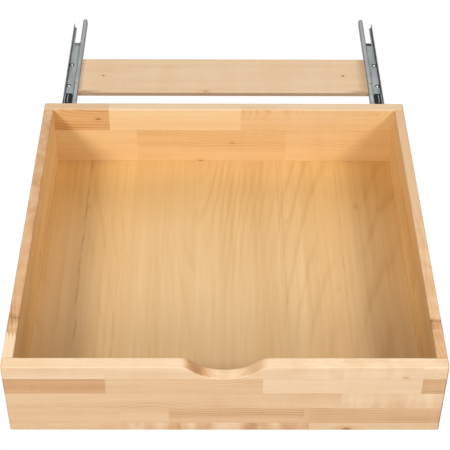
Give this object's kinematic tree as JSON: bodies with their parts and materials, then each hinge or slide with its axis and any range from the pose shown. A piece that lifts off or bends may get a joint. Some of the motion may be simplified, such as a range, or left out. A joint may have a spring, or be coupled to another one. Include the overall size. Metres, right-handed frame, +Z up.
{
  "type": "under-desk drawer",
  "caption": "Shallow solid beech drawer with a hand grip in the front and a plywood bottom, on ball-bearing full-extension rails tied by a cross board.",
  "frame": {"origin": "centre of the four screw holes in the two fixed rails, on the rails' undersides", "axes": "+X across to the drawer's right as seen from the front, +Y from the drawer's front to the rear (closing direction), +Z up"},
  "size_m": [0.6, 1.055, 0.1477],
  "materials": {
    "beech": "clear oiled, edge-glued staves",
    "birch_ply": "sanded, thin clear coat",
    "rail_steel": "zinc plated, dull",
    "ball_steel": "polished",
    "screw_steel": "zinc plated, bright",
    "black_plastic": "moulded",
    "grey_plastic": "moulded",
    "dowel_wood": "turned, raw"
  },
  "bodies": {
    "rail_frame": {"left_fixed_rail": "rail_steel", "right_fixed_rail": "rail_steel", "left_board_bracket": "rail_steel", "right_board_bracket": "rail_steel", "bracket_rivets": "screw_steel", "board_screws": "screw_steel", "cross_board": "beech"},
    "drawer": {"drawer_front": "beech", "drawer_back": "beech", "left_side": "beech", "right_side": "beech", "bottom_panel": "birch_ply", "corner_dowels": "dowel_wood", "left_drawer_rail": "rail_steel", "right_drawer_rail": "rail_steel", "left_catch": "grey_plastic", "right_catch": "grey_plastic", "catch_screws": "screw_steel"},
    "left_middle": {"left_middle_rail": "rail_steel", "left_rear_cap": "black_plastic"},
    "left_lower_race": {"left_lower_cage": "black_plastic", "left_lower_balls": "ball_steel"},
    "left_upper_race": {"left_upper_cage": "black_plastic", "left_upper_balls": "ball_steel"},
    "left_lever": {"left_release_lever": "black_plastic"},
    "right_middle": {"right_middle_rail": "rail_steel", "right_rear_cap": "black_plastic"},
    "right_lower_race": {"right_lower_cage": "black_plastic", "right_lower_balls": "ball_steel"},
    "right_upper_race": {"right_upper_cage": "black_plastic", "right_upper_balls": "ball_steel"},
    "right_lever": {"right_release_lever": "black_plastic"}
  },
  "joints": [
    {"name": "drawer_slide", "type": "slide", "parent": "rail_frame", "child": "drawer", "axis": [0, 1, 0], "range_m": [-0.166, 0.434]},
    {"name": "left_middle_slide", "type": "slide", "parent": "rail_frame", "child": "left_middle", "axis": [0, 1, 0], "range_m": [-0.083, 0.217]},
    {"name": "left_lower_race_slide", "type": "slide", "parent": "rail_frame", "child": "left_lower_race", "axis": [0, 1, 0], "range_m": [-0.0415, 0.1085]},
    {"name": "left_upper_race_slide", "type": "slide", "parent": "rail_frame", "child": "left_upper_race", "axis": [0, 1, 0], "range_m": [-0.1245, 0.3255]},
    {"name": "left_lever_pivot", "type": "hinge", "parent": "drawer", "child": "left_lever", "pos_m": [-0.2605, -0.571, 0.0171], "axis": [0, 0, -1], "range_deg": [0, 15], "stiffness_Nm_per_rad": 0.05},
    {"name": "right_middle_slide", "type": "slide", "parent": "rail_frame", "child": "right_middle", "axis": [0, 1, 0], "range_m": [-0.083, 0.217]},
    {"name": "right_lower_race_slide", "type": "slide", "parent": "rail_frame", "child": "right_lower_race", "axis": [0, 1, 0], "range_m": [-0.0415, 0.1085]},
    {"name": "right_upper_race_slide", "type": "slide", "parent": "rail_frame", "child": "right_upper_race", "axis": [0, 1, 0], "range_m": [-0.1245, 0.3255]},
    {"name": "right_lever_pivot", "type": "hinge", "parent": "drawer", "child": "right_lever", "pos_m": [0.2605, -0.571, 0.0171], "axis": [0, 0, 1], "range_deg": [0, 15], "stiffness_Nm_per_rad": 0.05}
  ],
  "couplings": [
    {"joint": "left_middle_slide", "follows": "drawer_slide", "ratio": 0.5},
    {"joint": "left_lower_race_slide", "follows": "drawer_slide", "ratio": 0.25},
    {"joint": "left_upper_race_slide", "follows": "drawer_slide", "ratio": 0.75},
    {"joint": "right_middle_slide", "follows": "drawer_slide", "ratio": 0.5},
    {"joint": "right_lower_race_slide", "follows": "drawer_slide", "ratio": 0.25},
    {"joint": "right_upper_race_slide", "follows": "drawer_slide", "ratio": 0.75}
  ]
}
